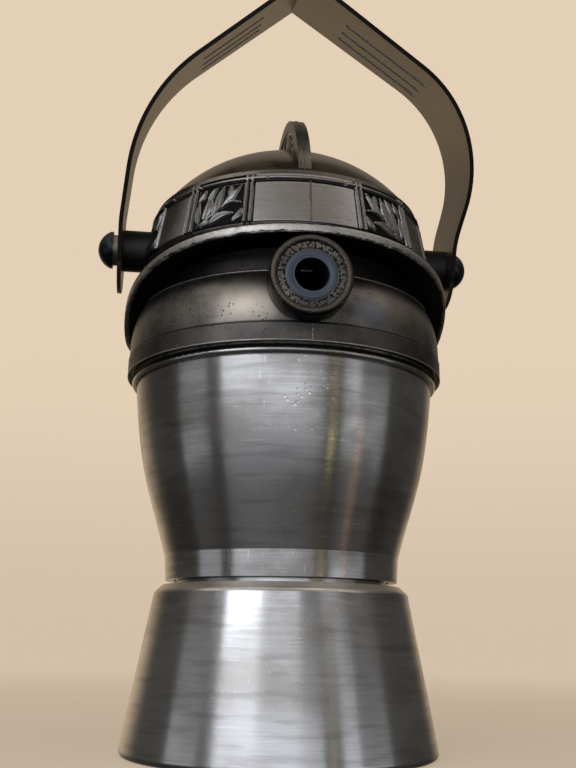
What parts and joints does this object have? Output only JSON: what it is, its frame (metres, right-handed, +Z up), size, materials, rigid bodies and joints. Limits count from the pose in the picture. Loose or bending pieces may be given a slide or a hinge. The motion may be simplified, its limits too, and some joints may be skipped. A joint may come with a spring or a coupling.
{
  "type": "moka pot",
  "caption": "Stovetop coffee pot: conical boiler, flared brushed barrel, cast collar with a round spout, helmet-like cover with a crest comb, and a pointed slotted strap bail.",
  "frame": {"origin": "middle of the boiler's flat base, on the pot's axis", "axes": "+Z up along the pot's axis, -Y towards the spout, X along the bail's pivots"},
  "size_m": [0.1236, 0.1124, 0.2439],
  "materials": {
    "boiler_metal": "brushed round the axis, tarnished",
    "barrel_metal": "brushed round the axis, tarnished",
    "cast_metal": "fine sand casting, darkened, rubbed bright on the edges",
    "liner_metal": "smooth satin",
    "strap_steel": "satin, brushed along the strap",
    "boss_metal": "dark matte",
    "cap_metal": "dark, slightly glossy",
    "washer_steel": "dull",
    "valve_brass": "machined",
    "spring_steel": "drawn wire",
    "fibre": "fibre sealing washer",
    "gasket_rubber": "moulded",
    "sheet_metal": "pressed sheet",
    "column_metal": "turned",
    "nut_steel": "zinc plated"
  },
  "bodies": {
    "boiler": {"boiler": "boiler_metal", "valve_body": "valve_brass", "valve_washer": "fibre", "valve_cap": "valve_brass", "valve_spring": "spring_steel", "funnel": "sheet_metal", "funnel_sieve": "sheet_metal"},
    "valve_pin": {"valve_pin": "valve_brass"},
    "seal": {"gasket": "gasket_rubber", "filter_plate": "sheet_metal"},
    "upper": {"barrel": "barrel_metal", "riser_column": "column_metal", "column_cap": "column_metal", "collar": "cast_metal", "spout_liner": "liner_metal"},
    "cover": {"cover": "cast_metal", "crest": "cast_metal", "crest_nuts": "nut_steel", "pivot_nuts": "nut_steel", "left_boss": "boss_metal", "right_boss": "boss_metal", "left_washer": "washer_steel", "right_washer": "washer_steel", "left_pivot_screw": "cap_metal", "right_pivot_screw": "cap_metal"},
    "bail": {"bail": "strap_steel"}
  },
  "joints": [
    {"name": "valve_release", "type": "slide", "parent": "boiler", "child": "valve_pin", "axis": [0, 1, 0], "range_m": [0, 0.0012], "stiffness_N_per_m": 400, "springref_m": -0.003, "deforming": ["valve_spring"]},
    {"name": "upper_lift", "type": "slide", "parent": "boiler", "child": "seal", "axis": [0, 0, 1], "range_m": [0, 0.008]},
    {"name": "upper_unscrew", "type": "hinge", "parent": "seal", "child": "upper", "pos_m": [0, 0, 0.06], "axis": [0, 0, 1], "range_deg": [0, 720]},
    {"name": "cover_turn", "type": "hinge", "parent": "upper", "child": "cover", "pos_m": [0, 0, 0.134], "axis": [0, 0, 1], "range_deg": [0, 13]},
    {"name": "bail_swing", "type": "hinge", "parent": "cover", "child": "bail", "pos_m": [0, 0, 0.1553], "axis": [1, 0, 0], "range_deg": [-126, 94]}
  ],
  "couplings": [
    {"joint": "upper_lift", "follows": "upper_unscrew", "m_per_rad": 0.0006366}
  ]
}
